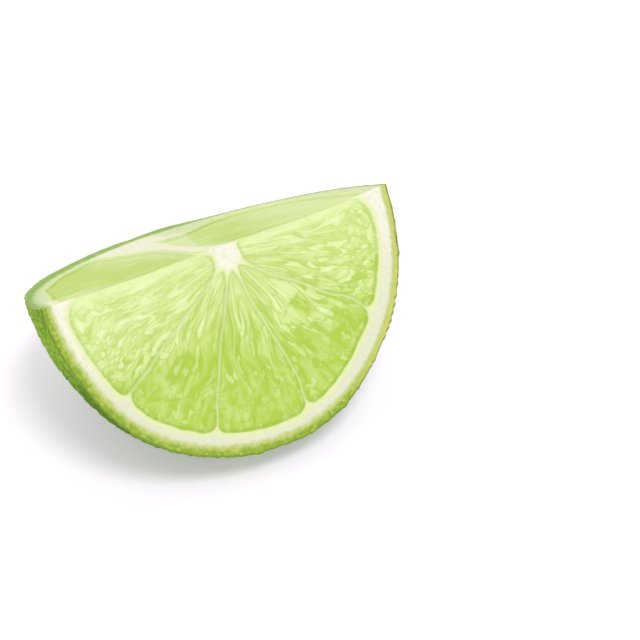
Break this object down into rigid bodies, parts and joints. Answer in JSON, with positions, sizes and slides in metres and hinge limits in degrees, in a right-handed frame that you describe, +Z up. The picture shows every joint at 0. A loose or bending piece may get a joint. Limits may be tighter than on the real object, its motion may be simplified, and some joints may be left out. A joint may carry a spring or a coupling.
{
  "type": "lime wedge",
  "caption": "Quarter wedge of a fresh lime, lying on its rind with the cut across the segments facing the front and the cut down the core facing the back.",
  "frame": {"origin": "centre of the small flat spot on the rind that the wedge lies on", "axes": "+X along the straight edge where the two cuts meet, +Y towards the back, away from the cut across the segments, +Z up"},
  "size_m": [0.051, 0.0411, 0.0279],
  "materials": {
    "lime": "wet, pale green cut flesh inside white pith, in a glossy green rind with fine oil glands"
  },
  "bodies": {
    "root": {"lime_wedge": "lime"}
  },
  "joints": []
}
